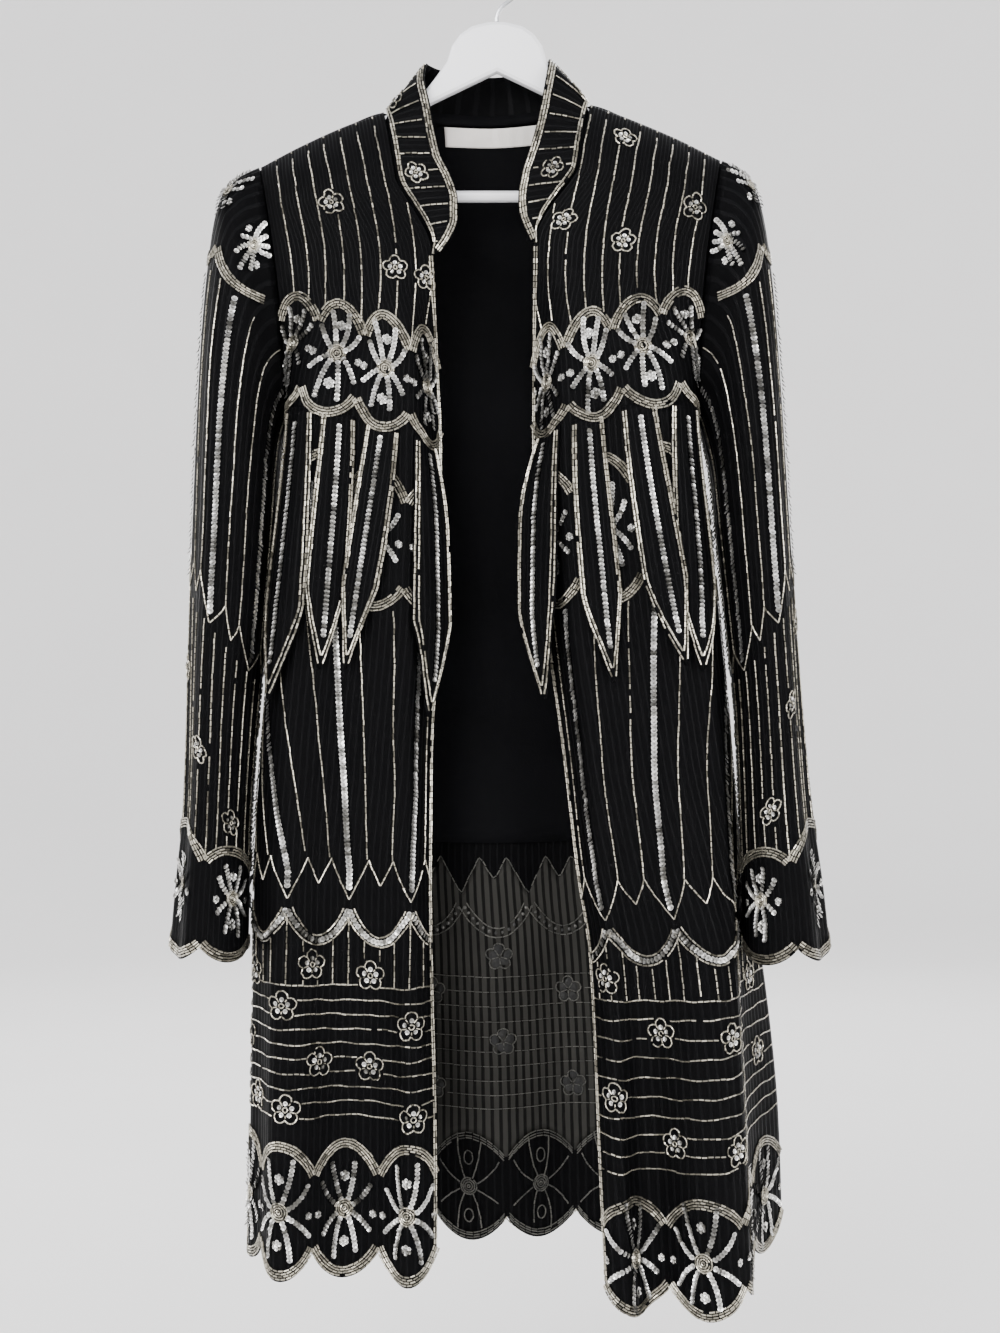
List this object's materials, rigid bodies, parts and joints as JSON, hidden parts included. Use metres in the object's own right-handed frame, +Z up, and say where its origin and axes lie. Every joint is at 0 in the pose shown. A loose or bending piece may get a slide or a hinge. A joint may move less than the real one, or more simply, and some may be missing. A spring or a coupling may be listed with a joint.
{
  "type": "duster jacket on hanger",
  "caption": "Long open-fronted sheer duster jacket with beaded bands, pointed tails, lining and scalloped hem, on a flat hanger.",
  "frame": {"origin": "inside top of the hanger hook's bend, where a rail carries it", "axes": "+Z up, the jacket's front faces -Y, the wearer's right side is at -X"},
  "size_m": [0.5565, 0.1994, 1.1443],
  "materials": {
    "beaded_cloth": "black sheer georgette with silver bugle beads and sequins",
    "tail_cloth": "black georgette edged with silver bugle beads",
    "lining": "black crepe",
    "label": "white woven satin, blank",
    "beads": "silver-lined glass bugle beads",
    "sequins": "silver cup sequins",
    "white_paint": "white painted wood, satin",
    "steel": "plain steel rod"
  },
  "bodies": {
    "root": {"front_right": "beaded_cloth", "front_left": "beaded_cloth", "back_panel": "beaded_cloth", "sleeve_right": "beaded_cloth", "sleeve_left": "beaded_cloth", "collar": "beaded_cloth", "lining_back": "lining", "lining_right": "lining", "lining_left": "lining", "tail_right_1": "tail_cloth", "tail_right_2": "tail_cloth", "tail_right_3": "tail_cloth", "tail_right_4": "tail_cloth", "tail_left_1": "tail_cloth", "tail_left_2": "tail_cloth", "tail_left_3": "tail_cloth", "tail_left_4": "tail_cloth", "tail_back_1": "tail_cloth", "tail_back_2": "tail_cloth", "tail_back_3": "tail_cloth", "tail_back_4": "tail_cloth", "tail_back_5": "tail_cloth", "tail_back_6": "tail_cloth", "tail_back_7": "tail_cloth", "tail_back_8": "tail_cloth", "neck_label": "label", "hanger_board": "white_paint", "hanger_bar": "white_paint", "hanger_hook": "steel"}
  },
  "joints": []
}
